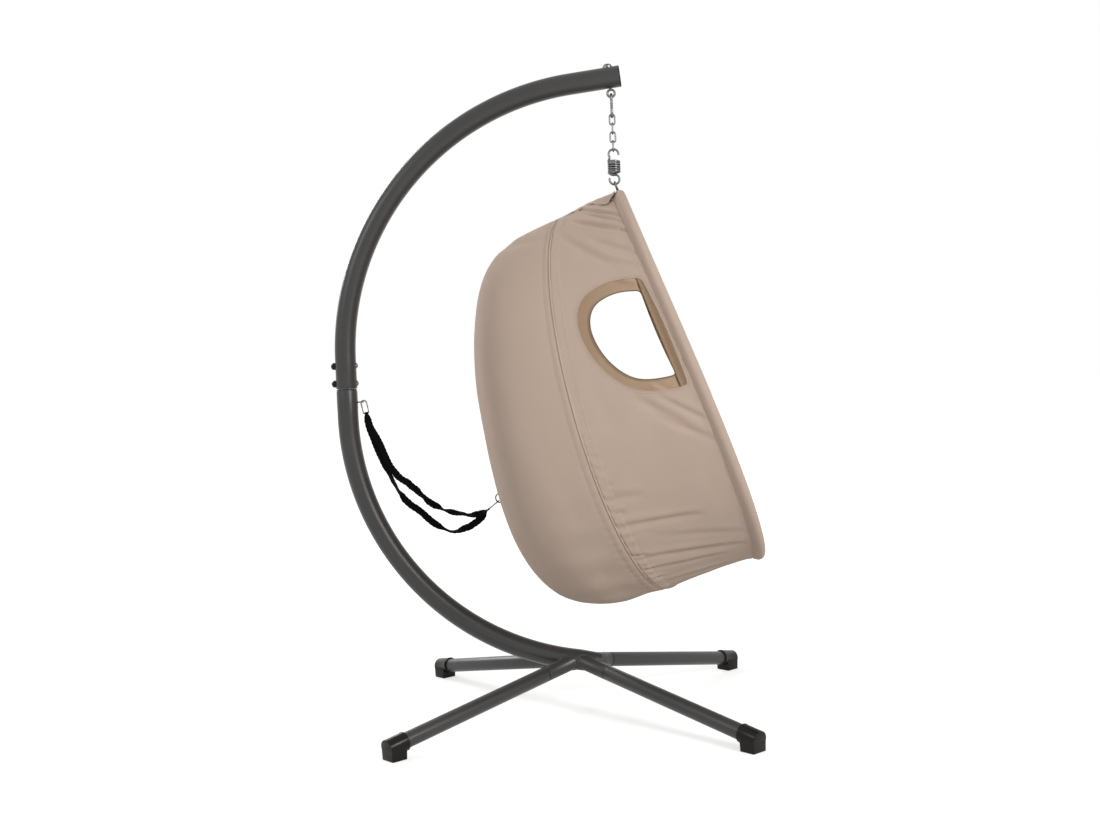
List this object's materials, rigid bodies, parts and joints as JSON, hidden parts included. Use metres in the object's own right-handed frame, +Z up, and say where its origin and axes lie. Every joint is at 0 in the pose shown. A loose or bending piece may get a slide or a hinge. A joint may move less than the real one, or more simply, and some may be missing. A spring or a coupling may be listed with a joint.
{
  "type": "hanging chair with stand",
  "caption": "Egg-shaped fabric pod with side windows, hung by a snap hook, chain and spring from a C-shaped steel tube stand on splayed legs, with a webbing tether at the back",
  "frame": {"origin": "on the floor, under the middle of the chair's length and width", "axes": "+X is the chair's front, out of the pod's mouth, +Y the sitter's left, +Z up"},
  "size_m": [1.287, 1.0376, 1.947],
  "materials": {
    "powder_coat": "satin",
    "moulded_foot": "matte",
    "zinc_plate": "satin",
    "black_cap": "satin",
    "pod_cloth": "matte",
    "pad_cloth": "matte",
    "glass_fibre": "satin",
    "webbing": "matte"
  },
  "bodies": {
    "stand": {"upper_bow_tube": "powder_coat", "lower_bow_tube": "powder_coat", "front_left_leg": "powder_coat", "front_right_leg": "powder_coat", "rear_left_leg": "powder_coat", "rear_right_leg": "powder_coat", "front_left_foot": "moulded_foot", "front_right_foot": "moulded_foot", "rear_left_foot": "moulded_foot", "rear_right_foot": "moulded_foot", "upper_joint_bolt": "zinc_plate", "lower_joint_bolt": "zinc_plate", "upper_cap_nut": "black_cap", "lower_cap_nut": "black_cap", "arm_end_plug": "black_cap", "eye_bolt": "zinc_plate", "eye_bolt_nut": "zinc_plate", "bow_tether_eye": "zinc_plate", "bow_tether_hook": "zinc_plate", "tether_strap_upper": "webbing", "tether_strap_lower": "webbing"},
    "hook": {"snap_hook": "zinc_plate"},
    "hook_gate": {"snap_hook_gate": "zinc_plate"},
    "chain": {"chain_link_1": "zinc_plate", "chain_link_2": "zinc_plate", "chain_link_3": "zinc_plate", "chain_link_4": "zinc_plate"},
    "spring": {"hanging_spring": "zinc_plate"},
    "pod": {"front_hoop_left": "powder_coat", "front_hoop_right": "powder_coat", "front_hoop_crown": "powder_coat", "front_hoop_joiner": "powder_coat", "mid_rod": "glass_fibre", "left_side_panel": "pod_cloth", "right_side_panel": "pod_cloth", "back_panel": "pod_cloth", "seat_cushion": "pad_cloth", "back_cushion": "pad_cloth", "tether_ring": "zinc_plate", "tether_tab": "webbing", "pod_tether_hook": "zinc_plate"},
    "bow_hook_gate": {"bow_tether_hook_gate": "zinc_plate"},
    "pod_hook_gate": {"pod_tether_hook_gate": "zinc_plate"}
  },
  "joints": [
    {"name": "pod_swing", "type": "hinge", "parent": "stand", "child": "hook", "pos_m": [0.2459, 0, 1.85495], "axis": [0, 1, 0], "range_deg": [-3, 12], "deforming": ["tether_strap_upper", "tether_strap_lower"]},
    {"name": "pod_sway", "type": "hinge", "parent": "hook", "child": "chain", "pos_m": [0.2459, 0, 1.79575], "axis": [1, 0, 0], "range_deg": [-8, 8]},
    {"name": "pod_turn", "type": "hinge", "parent": "chain", "child": "spring", "pos_m": [0.2459, 0, 1.69165], "axis": [0, 0, 1], "range_deg": [-20, 20], "stiffness_Nm_per_rad": 3},
    {"name": "pod_bounce", "type": "slide", "parent": "spring", "child": "pod", "axis": [0, 0, -1], "range_m": [0, 0.035], "stiffness_N_per_m": 28000, "springref_m": -0.006, "deforming": ["hanging_spring"]},
    {"name": "snap_gate_open", "type": "hinge", "parent": "hook", "child": "hook_gate", "pos_m": [0.2459, -0.012, 1.81595], "axis": [-1, 0, 0], "range_deg": [0, 26], "stiffness_Nm_per_rad": 0.2, "springref_deg": -8.59},
    {"name": "bow_hook_gate_open", "type": "hinge", "parent": "stand", "child": "bow_hook_gate", "pos_m": [-0.53479, 0, 0.94256], "axis": [0, -1, 0], "range_deg": [0, 22], "stiffness_Nm_per_rad": 0.05, "springref_deg": -8.59},
    {"name": "pod_hook_gate_open", "type": "hinge", "parent": "pod", "child": "pod_hook_gate", "pos_m": [-0.16759, -0.0085, 0.62923], "axis": [-0.606, 0, 0.7954], "range_deg": [0, 22], "stiffness_Nm_per_rad": 0.05, "springref_deg": -8.59}
  ]
}
